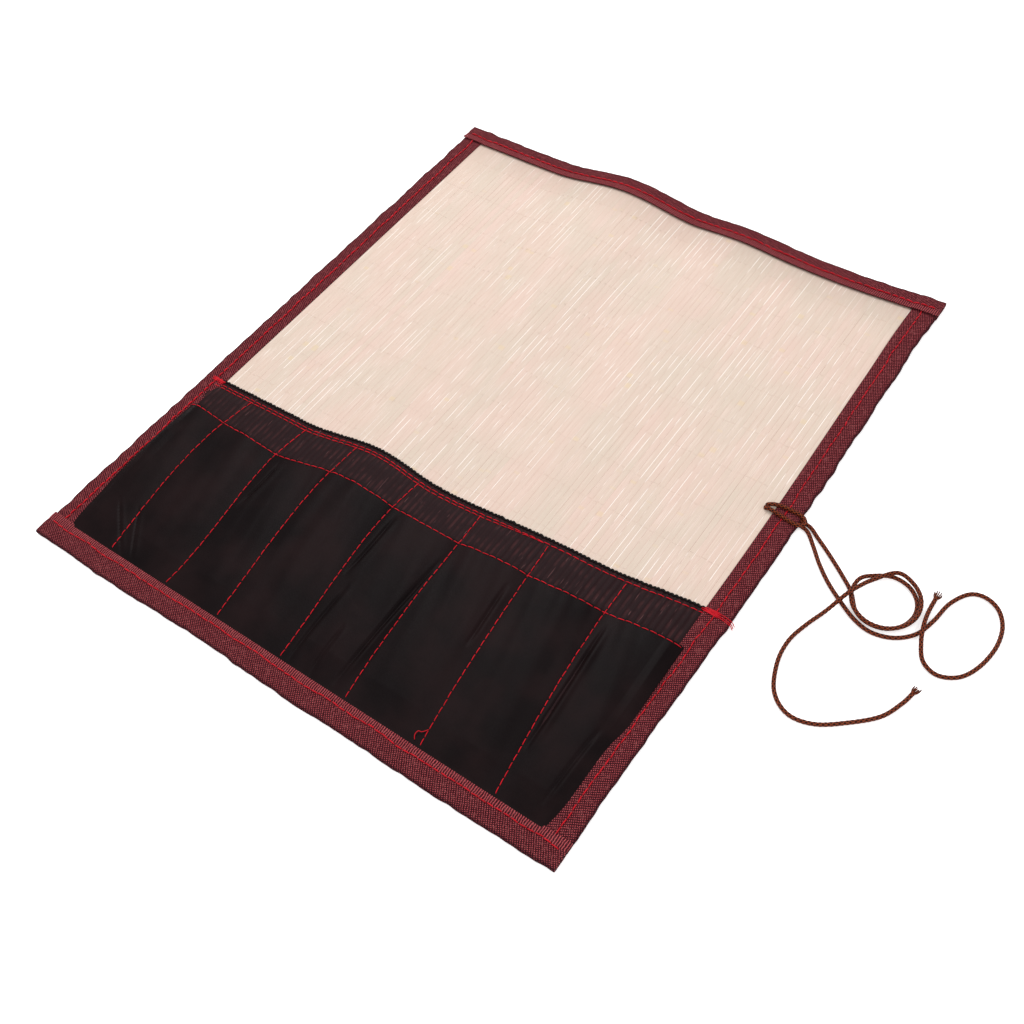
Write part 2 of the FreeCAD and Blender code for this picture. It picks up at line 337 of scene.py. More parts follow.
def grid_faces(rows, columns, closed=False, flip=False):
    """Quads of a grid of rows by columns, closed across the columns for a tube."""
    faces = []
    last = columns if closed else columns - 1
    for row in range(rows - 1):
        for column in range(last):
            near, far = row * columns + column, row * columns + (column + 1) % columns
            face = [near, far, far + columns, near + columns]
            faces.append(face[::-1] if flip else face)
    return faces


def tube(shape, path, radius, sides, finish=0, marks_from=0.0, tone=0.0, relief=None):
    """A round thread along a path. relief(along, turn) scales the radius for a braid's bumps."""
    path = np.asarray(path, float)
    count = len(path)
    steps = np.linalg.norm(np.diff(path, axis=0), axis=1)
    along = np.concatenate([[0], np.cumsum(steps)]) + marks_from
    tangents = np.gradient(path, axis=0)
    tangents /= np.linalg.norm(tangents, axis=1)[:, None] + 1e-12
    side = np.cross(tangents[0], [0, 0, 1.0])
    if np.linalg.norm(side) < 0.1:
        side = np.array([0, 1.0, 0])
    radii = np.broadcast_to(np.asarray(radius, float), (count,))
    turns = np.arange(sides) / sides
    cosines, sines = np.cos(2 * math.pi * turns), np.sin(2 * math.pi * turns)
    points = np.zeros((count, sides, 3))
    marks = np.zeros((count, sides, 3))
    for step in range(count):
        side = side - tangents[step] * side.dot(tangents[step])
        side /= np.linalg.norm(side)
        up = np.cross(side, tangents[step])
        scale = radii[step] * (relief(along[step], turns) if relief else 1.0)
        points[step] = path[step] + (np.outer(cosines * scale, side) + np.outer(sines * scale, up))
        marks[step, :, 0] = along[step]
        marks[step, :, 1] = turns
        marks[step, :, 2] = tone
    faces = grid_faces(count, sides, closed=True)
    faces.append(list(range(sides))[::-1])
    faces.append([(count - 1) * sides + corner for corner in range(sides)])
    shape.add(points, marks, faces, finish)


def smooth_path(places, step):
    """Even points along a smooth curve through some places."""
    places = np.asarray(places, float)
    ends = np.vstack([2 * places[0] - places[1], places, 2 * places[-1] - places[-2]])
    fine = []
    share = np.linspace(0, 1, 16, endpoint=False)[:, None]
    for index in range(len(places) - 1):
        a, b, c, d = ends[index : index + 4]
        turn = 2 * b + (c - a) * share + (2 * a - 5 * b + 4 * c - d) * share**2
        fine.append(0.5 * (turn + (3 * b - a - 3 * c + d) * share**3))
    fine = np.vstack(fine + [places[-1:]])
    lengths = np.concatenate([[0], np.cumsum(np.linalg.norm(np.diff(fine, axis=0), axis=1))])
    even = np.linspace(0, lengths[-1], max(3, int(lengths[-1] / step)))
    return np.column_stack([np.interp(even, lengths, fine[:, axis]) for axis in range(3)])


def stretch_at(x):
    """The stretch of the mat that a place is in."""
    return int(np.clip(np.searchsorted(CUTS, x) - 1, 0, PANELS))


def settle(piece, stretch):
    """Ride the outermost half panels on their bodies, and bake the others where they lie."""
    if stretch == 0:
        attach(piece, "panel_01")
    elif stretch == PANELS:
        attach(piece, "panel_16")
    else:
        hinge = HINGES[stretch - 1]
        reach = PANEL / 3
        start, end = ((hinge - reach) * MM, 0, 0), ((hinge + reach) * MM, 0, 0)
        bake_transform(piece)
        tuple(start)
        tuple(end)


def columns_between(low, high, step):
    """Even places from low to high, both included, at most a step apart."""
    return np.linspace(low, high, max(2, int(math.ceil((high - low) / step)) + 1))


# ---------------- materials


class Nodes:
    """A short way to write a material's node tree."""

    def __init__(self, name):
        self.material = bpy.data.materials.new(name)
        self.material.use_nodes = True
        self.tree = self.material.node_tree
        self.surface = self.tree.nodes["Principled BSDF"]
        mark = self.new("ShaderNodeAttribute")
        mark.attribute_name = "mark"
        self.mark = mark.outputs["Vector"]
        parts = self.new("ShaderNodeSeparateXYZ")
        self.link(self.mark, parts.inputs[0])
        self.along, self.across, self.third = parts.outputs

    def new(self, kind):
        return self.tree.nodes.new(kind)

    def link(self, start, end):
        self.tree.links.new(start, end)

    def feed(self, socket, value):
        if isinstance(value, bpy.types.NodeSocket):
            self.link(value, socket)
        else:
            socket.default_value = value

    def math(self, operation, *values):
        node = self.new("ShaderNodeMath")
        node.operation = operation
        for socket, value in zip(node.inputs, values):
            self.feed(socket, value)
        return node.outputs[0]

    def wave(self, value, period, shift=0.0):
        """A sine of a value with a period, from 0 to 1."""
        turn = self.math("MULTIPLY_ADD", value, 2 * math.pi / period, shift)
        return self.math("MULTIPLY_ADD", self.math("SINE", turn), 0.5, 0.5)

    def pair(self, x, y):
        node = self.new("ShaderNodeCombineXYZ")
        for socket, value in zip(node.inputs, (x, y)):
            self.feed(socket, value)
        return node.outputs[0]

    def stretched(self, x, x_scale, y, y_scale):
        return self.pair(self.math("MULTIPLY", x, x_scale), self.math("MULTIPLY", y, y_scale))

    def noise(self, vector, scale, detail=2.0, roughness=0.5):
        node = self.new("ShaderNodeTexNoise")
        node.inputs["Scale"].default_value = scale
        node.inputs["Detail"].default_value = detail
        node.inputs["Roughness"].default_value = roughness
        self.feed(node.inputs["Vector"], vector)
        return node.outputs["Fac"]

    def step(self, value, low, high):
        """0 below low, 1 above high, smooth between."""
        node = self.new("ShaderNodeMapRange")
        node.interpolation_type = "SMOOTHSTEP"
        self.feed(node.inputs["Value"], value)
        node.inputs["From Min"].default_value = low
        node.inputs["From Max"].default_value = high
        return node.outputs[0]

    def mix(self, share, first, second):
        node = self.new("ShaderNodeMix")
        node.data_type = "RGBA"
        self.feed(node.inputs[0], share)
        for socket, value in ((node.inputs[6], first), (node.inputs[7], second)):
            if isinstance(value, tuple) and len(value) == 3:
                value = value + (1.0,)
            self.feed(socket, value)
        return node.outputs[2]

    def tint(self, colour, mask, strength, over):
        """Lay another colour over a colour where a mask is, as strongly as asked."""
        return self.mix(self.math("MULTIPLY", mask, strength), colour, over)

    def bump(self, height, strength, distance_mm):
        node = self.new("ShaderNodeBump")
        node.inputs["Strength"].default_value = strength
        node.inputs["Distance"].default_value = distance_mm * MM
        self.feed(node.inputs["Height"], height)
        self.link(node.outputs[0], self.surface.inputs["Normal"])

    def finish(self, colour, roughness, specular):
        self.feed(self.surface.inputs["Base Color"], colour)
        self.feed(self.surface.inputs["Roughness"], roughness)
        self.surface.inputs["Specular IOR Level"].default_value = specular
        return self.material


def bamboo_material():
    """Pale bamboo. Marks: across a slat (-1 to 1), along it in mm, and the slat's number."""
    n = Nodes("bamboo")
    across, along, number = n.along, n.across, n.third
    slat = n.new("ShaderNodeTexWhiteNoise")
    slat.noise_dimensions = "1D"
    n.link(number, slat.inputs["W"])
    tone = slat.outputs["Value"]
    place = n.math("MULTIPLY_ADD", number, 3.7, n.math("MULTIPLY", across, 1.2))
    grain = n.noise(n.pair(place, n.math("MULTIPLY", along, 0.045)), 1.6, 4.0, 0.6)
    fibre_at = n.pair(n.math("MULTIPLY_ADD", across, 9.0, n.math("MULTIPLY", number, 31.0)), along)
    fibre = n.noise(n.stretched(number, 5.3, along, 0.02), 2.0)
    patch = n.noise(n.stretched(number, 0.06, along, 0.010), 2.2)
    colour = n.mix(tone, (0.702, 0.524, 0.446), (0.668, 0.526, 0.435))
    colour = n.tint(colour, n.step(patch, 0.38, 0.66), 0.7, (0.635, 0.535, 0.439))
    colour = n.tint(colour, n.step(grain, 0.5, 0.78), 0.22, (0.649, 0.476, 0.397))
    colour = n.tint(colour, n.step(fibre, 0.5, 0.75), 0.3, (0.735, 0.557, 0.477))
    hair_at = n.math("MULTIPLY_ADD", across, 4.5, n.math("MULTIPLY", number, 37.0))
    hair = n.noise(n.pair(hair_at, n.math("MULTIPLY", along, 0.03)), 1.5)
    colour = n.tint(colour, n.step(hair, 0.53, 0.70), 0.6, (0.821, 0.685, 0.605))
    # Here and there a slat shows a yellowish joint of the cane, and fine dark flecks.
    joint = n.noise(n.stretched(number, 7.1, along, 0.16), 1.0, 0.0)
    colour = n.tint(colour, n.step(joint, 0.74, 0.82), 0.35, (0.726, 0.552, 0.312))
    fleck = n.noise(fibre_at, 0.55, 0.0)
    colour = n.tint(colour, n.step(fleck, 0.79, 0.83), 0.4, (0.401, 0.286, 0.208))
    # The gap between two slats is a fine rosy line of painted shade, and here and there a painted gleam
    # of light.
    side = n.math("SIGN", across)
    gap = n.math("MULTIPLY_ADD", side, 0.5, number)
    edge = n.step(n.math("ABSOLUTE", across), 0.87, 0.94)
    colour = n.tint(colour, edge, 0.22, (0.668, 0.428, 0.359))
    # Painted highlight: near-white gleams along some slat edges.
    painted_gleam = n.noise(n.stretched(gap, 9.7, along, 0.020), 1.8, 3.0)
    clear = n.noise(n.stretched(gap, 0.05, along, 0.008), 1.5)
    painted_gleam = n.math("MULTIPLY", n.step(painted_gleam, 0.465, 0.575), n.step(clear, 0.32, 0.56))
    colour = n.mix(n.math("MULTIPLY", edge, painted_gleam), colour, (0.97, 0.90, 0.84))
    relief = n.math("MULTIPLY_ADD", grain, 0.6, n.noise(fibre_at, 0.9, 3.0))
    n.bump(relief, 0.12, 0.25)
    return n.finish(colour, n.math("MULTIPLY_ADD", grain, 0.2, 0.5), 0.3)


def tape_material():
    """Wine twill tape. Marks: along the tape, across it from the fold, and in from the seam."""
    n = Nodes("binding_tape")
    along, across = n.along, n.across
    wobble = n.noise(n.mark, 0.35, 2.0)
    run = n.math("MULTIPLY_ADD", wobble, 0.9, along)
    rib = n.wave(run, 1.12)
    # Outside the seam the ribs break up into a diagonal twill of short floats.
    slant = n.wave(n.math("MULTIPLY_ADD", across, 0.62, run), 1.16)
    float_at = n.wave(n.math("MULTIPLY_ADD", run, -0.45, across), 0.92)
    twill = n.math("MULTIPLY", n.step(slant, 0.35, 0.95), n.step(float_at, 0.3, 0.85))
    inner = n.step(n.third, -0.3, 0.3)
    ribbed = n.math("MULTIPLY_ADD", twill, 0.30, n.math("MULTIPLY", n.step(rib, 0.45, 1.0), 0.72))
    weave = n.new("ShaderNodeMix")
    n.link(inner, weave.inputs[0])
    n.link(twill, weave.inputs[2])
    n.link(ribbed, weave.inputs[3])
    weave = weave.outputs[0]
    speck = n.noise(n.mark, 1.9, 3.0, 0.75)
    cloudy = n.noise(n.mark, 0.12, 2.0)
    light = n.mix(cloudy, (0.395, 0.058, 0.070), (0.57, 0.112, 0.122))
    colour = n.mix(n.step(weave, 0.05, 0.9), (0.036, 0.0042, 0.0075), light)
    colour = n.tint(colour, n.step(speck, 0.55, 0.72), 0.6, (0.46, 0.125, 0.135))
    colour = n.tint(colour, n.step(speck, 0.47, 0.32), 0.65, (0.030, 0.008, 0.007))
    worn = n.noise(n.mark, 0.62, 2.0)
    colour = n.tint(colour, n.step(worn, 0.54, 0.70), 0.16, (0.52, 0.15, 0.15))
    # Painted shade darkens the tape along its rounded fold, where it turns down its outer side.
    fold = n.step(across, 1.6, 0.4)
    colour = n.tint(colour, fold, 0.7, (0.018, 0.003, 0.006))
    n.bump(weave, 0.6, 0.3)
    return n.finish(colour, 0.8, 0.06)


def cloth_material():
    """Black woven cloth with a faint satin gleam, partly painted into its colour as cloudy lighter
    patches.
    """
    n = Nodes("pocket_cloth")
    weave = n.math("MULTIPLY", n.wave(n.along, 0.42), n.wave(n.across, 0.42))
    # Painted sheen: cloudy lighter patches in the colour stand in for the satin's gleam.
    cloudy = n.noise(n.mark, 0.03, 3.0)
    colour = n.mix(n.step(cloudy, 0.35, 0.7), (0.0040, 0.0023, 0.0026), (0.0115, 0.0052, 0.0056))
    colour = n.tint(colour, weave, 0.3, (0.018, 0.0105, 0.0115))
    n.bump(n.math("MULTIPLY_ADD", weave, 0.4, n.noise(n.mark, 0.16, 2.0)), 0.16, 0.3)
    return n.finish(colour, n.math("MULTIPLY_ADD", cloudy, 0.14, 0.34), 0.045)


def lining_material():
    """Sheer black lining: the pale slats glow through it as faint wine stripes."""
    n = Nodes("sheer_lining")
    stripe = n.step(n.wave(n.math("ADD", n.along, -CUTS[1]), PITCH, math.pi / 2), 0.35, 0.9)
    patch = n.step(n.noise(n.mark, 0.13, 3.0), 0.42, 0.68)
    show = n.math("MULTIPLY", stripe, n.math("MULTIPLY_ADD", patch, 0.55, 0.05))
    weave = n.math("MULTIPLY", n.wave(n.along, 0.5), n.wave(n.across, 0.5))
    colour = n.mix(show, (0.0150, 0.0058, 0.0068), (0.060, 0.018, 0.019))
    colour = n.tint(colour, weave, 0.3, (0.030, 0.0105, 0.012))
    bright = n.noise(n.stretched(n.along, 1.3, n.across, 0.1), 0.8)
    colour = n.tint(colour, n.step(bright, 0.66, 0.74), 0.4, (0.24, 0.10, 0.10))
    n.bump(n.math("ADD", weave, n.noise(n.mark, 0.3, 3.0)), 0.2, 0.25)
    return n.finish(colour, 0.5, 0.06)


def thread_material(name, dark, light, roughness=0.5):
    """Twisted sewing thread. Marks: along the thread in mm, round it from 0 to 1, and a tone."""
    n = Nodes(name)
    twist = 0.5
    ply = n.wave(n.math("MULTIPLY_ADD", n.across, twist, n.along), twist)
    tone = n.math("MULTIPLY_ADD", n.third, 0.5, n.math("MULTIPLY", ply, 0.6))
    n.bump(ply, 0.4, 0.08)
    return n.finish(n.mix(tone, dark, light), roughness, 0.15)


def cord_material():
    """Brown braided cord with lighter crowns where its strands cross, painted shade in the valleys
    between them and painted highlights on the crowns.
    """
    n = Nodes("braided_cord")
    round_cord = n.math("MULTIPLY", n.across, 2 * math.pi * 4)
    run = n.math("MULTIPLY", n.along, 2 * math.pi / BRAID_PITCH)
    one = n.math("COSINE", n.math("ADD", round_cord, run))
    two = n.math("COSINE", n.math("SUBTRACT", round_cord, run))
    crown = n.step(n.math("MAXIMUM", one, two), 0.15, 1.0)
    fibre = n.noise(n.stretched(n.along, 3.0, n.across, 9.0), 1.6, 3.0)
    # Painted shade: the valleys between the strands go nearly black.
    colour = n.mix(crown, (0.0080, 0.0012, 0.0008), (0.165, 0.024, 0.007))
    # Painted highlights gleam on the crowns, here and there along the fibres.
    painted_shine = n.math("MULTIPLY", n.math("MULTIPLY", crown, n.step(fibre, 0.46, 0.66)), 0.7)
    colour = n.mix(painted_shine, colour, (0.46, 0.110, 0.030))
    n.bump(n.math("ADD", crown, fibre), 0.5, 0.15)
    return n.finish(colour, 0.5, 0.12)


BAMBOO = bamboo_material()
TAPE = tape_material()
CLOTH = cloth_material()
LINING = lining_material()
RED_THREAD = thread_material("red_thread", (0.34, 0.002, 0.008), (0.66, 0.007, 0.020))
COTTON = thread_material("weaving_thread", (0.66, 0.52, 0.44), (0.78, 0.64, 0.55), 0.8)
OVERLOCK = thread_material("overlock_thread", (0.004, 0.003, 0.003), (0.014, 0.010, 0.010), 0.7)
CORD = cord_material()


# ---------------- bamboo slats

random.seed(11)
SLAT_HALF = (SLATS_HIGH[0] - SLATS_LOW[0] - (SLATS_PER_PANEL - 1) * PITCH) / 2
FIRST_SLAT = box_mm("slats_01")[0][0] + SLAT_HALF
SLATS = [FIRST_SLAT + PITCH * number for number in range(PANELS * SLATS_PER_PANEL)]
SLAT_FRONT, SLAT_BACK = SLATS_LOW[1], SLATS_HIGH[1]


def add_slat(shape, number):
    """One split bamboo slat: flat underneath, its upper edges worn round."""
    half = PITCH / 2
    top = SLAT_TOP + random.uniform(-0.04, 0.02)
    tilt = random.uniform(-0.03, 0.03)
    outline = [
        (-half, SLAT_UNDER + 0.15),
        (-half, top - 0.07),
        (-half + 0.05, top - 0.03),
        (-half + 0.20, top - 0.005),
        (-half * 0.3, top),
        (half * 0.3, top),
        (half - 0.20, top - 0.005),
        (half - 0.05, top - 0.03),
        (half, top - 0.07),
        (half, SLAT_UNDER + 0.15),
        (half - 0.2, SLAT_UNDER),
        (-half + 0.2, SLAT_UNDER),
    ]
    sections = np.linspace(SLAT_FRONT, SLAT_BACK - back_bow(SLATS[number]), 9)
    points, marks = [], []
    for y in sections:
        shift = random.uniform(-0.01, 0.01)
        for across, z in outline:
            x = SLATS[number] + across + shift
            points.append((x, y, z + tilt * across / half + wave(x, y)))
            marks.append((across / half, y, number + 0.5))
    count = len(outline)
    faces = grid_faces(len(sections), count, closed=True, flip=True)
    faces.append(list(range(count)))
    faces.append([(len(sections) - 1) * count + corner for corner in range(count)][::-1])
    shape.add(points, marks, faces)


# Weaving threads tie the slats together in pairs of rows, one thread over where the other is under.
WEAVE_ROWS = [FRONT + 31 + 25.2 * row for row in range(13)]
WEAVING_THREAD = 0.08


def add_weaving(shape, numbers):
    for row, y_row in enumerate(WEAVE_ROWS):
        for phase in (0, 1):
            path = []
            for number in numbers:
                over = (number + phase + row) % 2 == 0
                z = SLAT_TOP if over else SLAT_UNDER - WEAVING_THREAD
                centre = SLATS[number]
                y = y_row + 0.9 * math.sin(centre / 31.0 + row) + 0.35 * (phase - 0.5)
                lift = float(wave(centre, y))
                path.append((centre - PITCH / 2, y, SLAT_MIDDLE + lift))
                path.append((centre - PITCH * 0.36, y, z + lift))
                path.append((centre + PITCH * 0.36, y, z + lift))
            path.append((centre + PITCH / 2, y, SLAT_MIDDLE + lift))
            tube(shape, path, WEAVING_THREAD, 5, finish=1, tone=0.4 + 0.2 * phase)


def make_slats():
    for stretch in range(PANELS + 1):
        numbers = [n for n, x in enumerate(SLATS) if CUTS[stretch] <= x < CUTS[stretch + 1]]
        shape = Shape()
        for number in numbers:
            add_slat(shape, number)
        add_weaving(shape, numbers)
        piece = shape.build("slats_and_weaving_%02d" % stretch, [BAMBOO, COTTON])
        settle(piece, stretch)
        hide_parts("slats_%02d" % min(stretch + 1, PANELS))


# ---------------- binding tapes

FOLD_RADIUS = TAPE_TOP / 2


# Each tape: its width from fold to free edge, its seam's distance from the fold, and where a
# place on it lies, from its run along the edge and its distance across from the fold.
FRONT_WIDE, FRONT_SEAM = END_TAPE + 1.2, 9.1
BACK_WIDE, BACK_SEAM = END_TAPE - 0.3, 7.3
LEFT_SEAM, RIGHT_SEAM = 7.3, 7.9


def on_front(run, across):
    bow = front_bow(run)
    return run, FRONT - bow + across * (END_TAPE - 0.3 + bow) / FRONT_WIDE


def on_back(run, across):
    return run, BACK - back_bow(run) - across


def on_left(run, across):
    return LEFT + across, run


def on_right(run, across):
    return RIGHT + right_bow(run) - across, run


def tape_outline(width, seam):
    """A folded tape's section as (across from the fold, height) pairs, all the way round."""
    top = TAPE_TOP
    section = [
        (width, top - 0.12),
        (width - 0.25, top + 0.02),
        (width - 1.4, top + 0.05),
        (width - 2.6, top + 0.10),
        (seam + 1.3, top + 0.06),
        (seam + 0.6, top - 0.08),
        (seam, top - 0.18),
        (seam - 0.6, top - 0.07),
        (seam - 1.5, top + 0.12),
        (seam - 3.0, top + 0.16),
        (seam - 4.6, top + 0.06),
    ]
    for step in range(7):
        angle = math.radians(80 + step * 200 / 6)
        section.append((FOLD_RADIUS * (1 + math.cos(angle)), FOLD_RADIUS * (1 + math.sin(angle))))
    section += [(seam - 2.0, 0.0), (seam - 0.6, 0.12), (seam, 0.34), (seam + 0.6, 0.12)]
    section += [(seam + 2.0, 0.0), (width, 0.0)]
    section += [(width, SLAT_UNDER - 0.06), (3.9, SLAT_UNDER), (3.9, SLAT_TOP), (width, SLAT_TOP)]
    return section


def crumple(run, seed):
    """How far the tape's fold wanders in and out, and up and down, along its run."""
    outward = 0.55 * line_noise(run, seed, 6.0)
    outward = outward + 0.55 * line_noise(run, seed, 19.0)
    upward = 0.35 * line_noise(run, seed + 5, 4.5)
    return outward, upward


def add_tape(shape, runs, width, seam, seed, on_tape, lift, ribbed=True):
    """A folded tape along its run. Its marks are the run, the distance across, and from the seam."""
    section = tape_outline(width, seam)
    outward, upward = crumple(runs, seed)
    points, marks = [], []
    for index, run in enumerate(runs):
        for across, z in section:
            near_fold = max(0.0, 1 - across / 5.0)
            x, y = on_tape(run, across - outward[index] * near_fold)
            fuller = upward[index] * near_fold * (1 if z > 1 else 0)
            height = z + fuller + lift(run, across) * (1 if z > SLAT_UNDER else 0)
            points.append((x, y, height + float(wave(x, y))))
            marks.append((run, across, across - seam if z > 1 and ribbed else -9.0))
    count = len(section)
    shape.add(points, marks, grid_faces(len(runs), count, closed=True))
    # The cut ends have corners of their own, so that the tape shades evenly up to them.
    shape.add(points[:count], marks[:count], [list(range(count))[::-1]])
    shape.add(points[-count:], marks[-count:], [list(range(count))])


def over_side_tape(x, across):
    """The end tapes step up where they lie over the side tapes."""
    inside = min(x - LEFT, RIGHT - x)
    share = float(np.clip((SIDE_TAPE + 1.5 - inside) / 3.0, 0, 1))
    return 0.55 * share * share * (3 - 2 * share)


def back_tape_lift(x, across):
    """The back tape's free edge also curls up off the slats."""
    curl = float(np.clip((across - BACK_SEAM - 1.0) / 4.0, 0, 1))
    return over_side_tape(x, across) + 0.9 * curl * curl


def outward_normals(piece):
    """Turn every face outwards."""
    form = bmesh.new()
    form.from_mesh(piece.data)
    bmesh.ops.recalc_face_normals(form, faces=form.faces)
    form.to_mesh(piece.data)
    form.free()


def make_end_tapes():
    for stretch in range(PANELS + 1):
        low, high = CUTS[stretch], CUTS[stretch + 1]
        shape = Shape()
        runs = columns_between(low, high, 1.2)
        add_tape(shape, runs, FRONT_WIDE, FRONT_SEAM, 1.0, on_front, over_side_tape)
        add_tape(shape, runs, BACK_WIDE, BACK_SEAM, 2.0, on_back, back_tape_lift)
        piece = shape.build("end_tapes_%02d" % stretch, [TAPE])
        outward_normals(piece)
        settle(piece, stretch)
        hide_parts("end_binding_%02d" % min(stretch + 1, PANELS))


def no_lift(run, across):
    return 0.0


def make_side_tapes():
    runs = columns_between(FRONT + 5, BACK - 5, 1.2)
    for name, body, seam, on_tape, seed in (
        ("left_binding", "panel_01", LEFT_SEAM, on_left, 4.0),
        ("right_binding", "panel_16", RIGHT_SEAM, on_right, 6.0),
    ):
        shape = Shape()
        add_tape(shape, runs, SIDE_TAPE, seam, seed, on_tape, no_lift, ribbed=False)
        piece = shape.build(name + "_tape", [TAPE])
        outward_normals(piece)
        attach(piece, body)
        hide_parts(name)


# ---------------- pockets


def add_sheet(shape, xs, shares, line_low, line_high, surface, thick):
    """A thin closed sheet over a surface, from one line to another at each x."""
    low, high = line_low(xs), line_high(xs)
    x = np.repeat(xs[:, None], len(shares), axis=1)
    y = low[:, None] + (high - low)[:, None] * shares[None, :]
    reach = 0.05
    z = surface(x, y)
    slope_x = (surface(x + reach, y) - surface(x - reach, y)) / (2 * reach)
    slope_x = slope_x + (wave(x + reach, y) - wave(x - reach, y)) / (2 * reach)
    slope_y = (surface(x, y + reach) - surface(x, y - reach)) / (2 * reach)
    normals = np.dstack([-slope_x, -slope_y, np.ones(x.shape)])
    normals /= np.linalg.norm(normals, axis=2)[:, :, None]
    rows, columns = x.shape
    upper = np.dstack([x, y, z + wave(x, y)])
    lower = upper - [0, 0, thick]
    marks = np.dstack([x, y, 0 * x])
    shape.add(upper, marks, grid_faces(rows, columns, flip=True), normals=normals)
    shape.add(lower, marks, grid_faces(rows, columns), normals=-normals)
    # The rim joins the two skins with corners of its own, so that the skins shade to their edges.
    ring = [(row, 0) for row in range(rows)]
    ring += [(rows - 1, column) for column in range(1, columns)]
    ring += [(row, columns - 1) for row in range(rows - 2, -1, -1)]
    ring += [(0, column) for column in range(columns - 2, 0, -1)]
    rim_points = [skin[row, column] for row, column in ring for skin in (upper, lower)]
    rim_marks = [marks[row, column] for row, column in ring for _ in range(2)]
    centre = upper.reshape(-1, 3).mean(axis=0)
    rim_normals = []
    for point in rim_points:
        outward = np.array(point) - centre
        outward[2] = 0
        rim_normals.append(outward / (np.linalg.norm(outward) + 1e-9))
    count = len(ring)
    faces = [
        [2 * step, 2 * step + 1, 2 * ((step + 1) % count) + 1, 2 * ((step + 1) % count)]
        for step in range(count)
    ]
    shape.add(rim_points, rim_marks, faces, normals=rim_normals)


def front_line(x):
    return FRONT + END_TAPE - 1.6 + 0 * x


def cloth_edge(x):
    return mouth_line(x) + 0.5


OVERLOCK_PITCH = 2.1


def overlock_edge(low, high):
    """The lumpy row of thread that locks the lining's cut edge."""
    x = columns_between(low, high, 0.12)
    y = lining_line(x) - 0.1
    z = lining_top(x, y) + 0.25 + wave(x, y)
    uneven = line_noise(x, 21.0, 3.5)
    turns = (x - LEFT) / OVERLOCK_PITCH + 0.5 * uneven
    radii = 0.34 + (0.26 + 0.14 * uneven) * np.abs(np.sin(math.pi * turns)) ** 0.7
    sway = 0.22 * np.sin(2 * math.pi * turns) + 0.2 * uneven
    shape = Shape()
    tube(shape, np.column_stack([x, y + sway, z]), radii, 10, marks_from=low)
    return shape


def make_pocket_pieces():
    for stretch in range(PANELS + 1):
        low, high = max(CUTS[stretch], CLOTH_LEFT), min(CUTS[stretch + 1], CLOTH_RIGHT)
        if high <= low:
            continue
        xs = columns_between(low, high, 0.7)
        for name, rows, edge, surface, thick, material in (
            ("pocket_cloth_%02d", 62, cloth_edge, cloth_top, 0.25, CLOTH),
            ("pocket_lining_%02d", 70, lining_line, lining_top, 0.12, LINING),
        ):
            sheet = Shape()
            add_sheet(sheet, xs, np.linspace(0, 1, rows), front_line, edge, surface, thick)
            piece = sheet.build(name % stretch, [material])
            settle(piece, stretch)
            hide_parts("pocket_%02d" % min(max(stretch, 1), PANELS))
        piece = overlock_edge(low, high).build("overlock_edge_%02d" % stretch, [OVERLOCK])
        settle(piece, stretch)


# ---------------- stitching

SEAMS = [Shape() for _ in range(PANELS + 1)]


def tape_top(x, y):
    """The stitched groove of a tape, with the step over the side tapes."""
    raised = np.vectorize(over_side_tape)(x, 0)
    on_end = (y < FRONT + END_TAPE) | (y > BACK - END_TAPE)
    return TAPE_TOP - 0.06 + np.where(on_end, raised, 0.0)


def tape_under(x, y):
    """The stitched groove on a tape's underside."""
    return 0.42 + 0 * x


def add_stitch(shape, start, end, surface, thickness=THREAD, side=1):
    """One stitch: a thread that comes out, lies on the cloth and dives again. side is -1 below."""
    share = np.linspace(0, 1, 7)
    x = start[0] + (end[0] - start[0]) * share
    y = start[1] + (end[1] - start[1]) * share
    arch = np.sin(math.pi * share) ** 0.4
    z = surface(x, y) + wave(x, y) + side * thickness * (1.9 * arch - 0.9)
    radii = thickness * (0.55 + 0.45 * arch)
    tube(shape, np.column_stack([x, y, z]), radii, 8, tone=random.random())


def sew(line, surface, thickness=THREAD, shaky=0.12, side=1):
    """A row of stitches along a line of (x, y) places, each in the stretch it lies in."""
    line = np.asarray(line, float)
    lengths = np.concatenate([[0], np.cumsum(np.linalg.norm(np.diff(line, axis=0), axis=1))])
    count = int(lengths[-1] / STITCH_PITCH)
    for number in range(count):
        near = lengths[-1] * number / count
        far = near + STITCH_LONG / STITCH_PITCH * lengths[-1] / count
        ends = []
        for place in (near, far):
            x, y = np.interp(place, lengths, line[:, 0]), np.interp(place, lengths, line[:, 1])
            ends.append((x + random.uniform(-shaky, shaky), y + random.uniform(-shaky, shaky)))
        shape = SEAMS[stretch_at((ends[0][0] + ends[1][0]) / 2)]
        add_stitch(shape, ends[0], ends[1], surface, thickness, side)


def pocket_surface(x, y):
    """The top of whatever cloth a divider's stitches lie on."""
    return np.where(y < mouth_line(x) + 0.4, cloth_top(x, y), lining_top(x, y)) - 0.03


def sew_tapes():
    """A wandering seam along each tape, and a straight one underneath."""
    xs = columns_between(LEFT + 3, RIGHT - 3, 2.0)
    ys = columns_between(FRONT + END_TAPE - 1, BACK - END_TAPE + 1, 2.0)
    for runs, seam, on_tape, seed, thickness in (
        (xs, FRONT_SEAM, on_front, 9.0, TAPE_THREAD),
        (xs, BACK_SEAM, on_back, 10.0, PLUMP_THREAD),
        (ys, LEFT_SEAM, on_left, 12.0, PLUMP_THREAD),
        (ys, RIGHT_SEAM, on_right, 13.0, TAPE_THREAD),
    ):
        sway = 0.7 * line_noise(runs, seed, 14.0)
        sew(np.column_stack(on_tape(runs, seam + sway)), tape_top, thickness, shaky=0.28)
        sew(np.column_stack(on_tape(runs, seam + 0 * runs)), tape_under, UNDER_THREAD, side=-1)


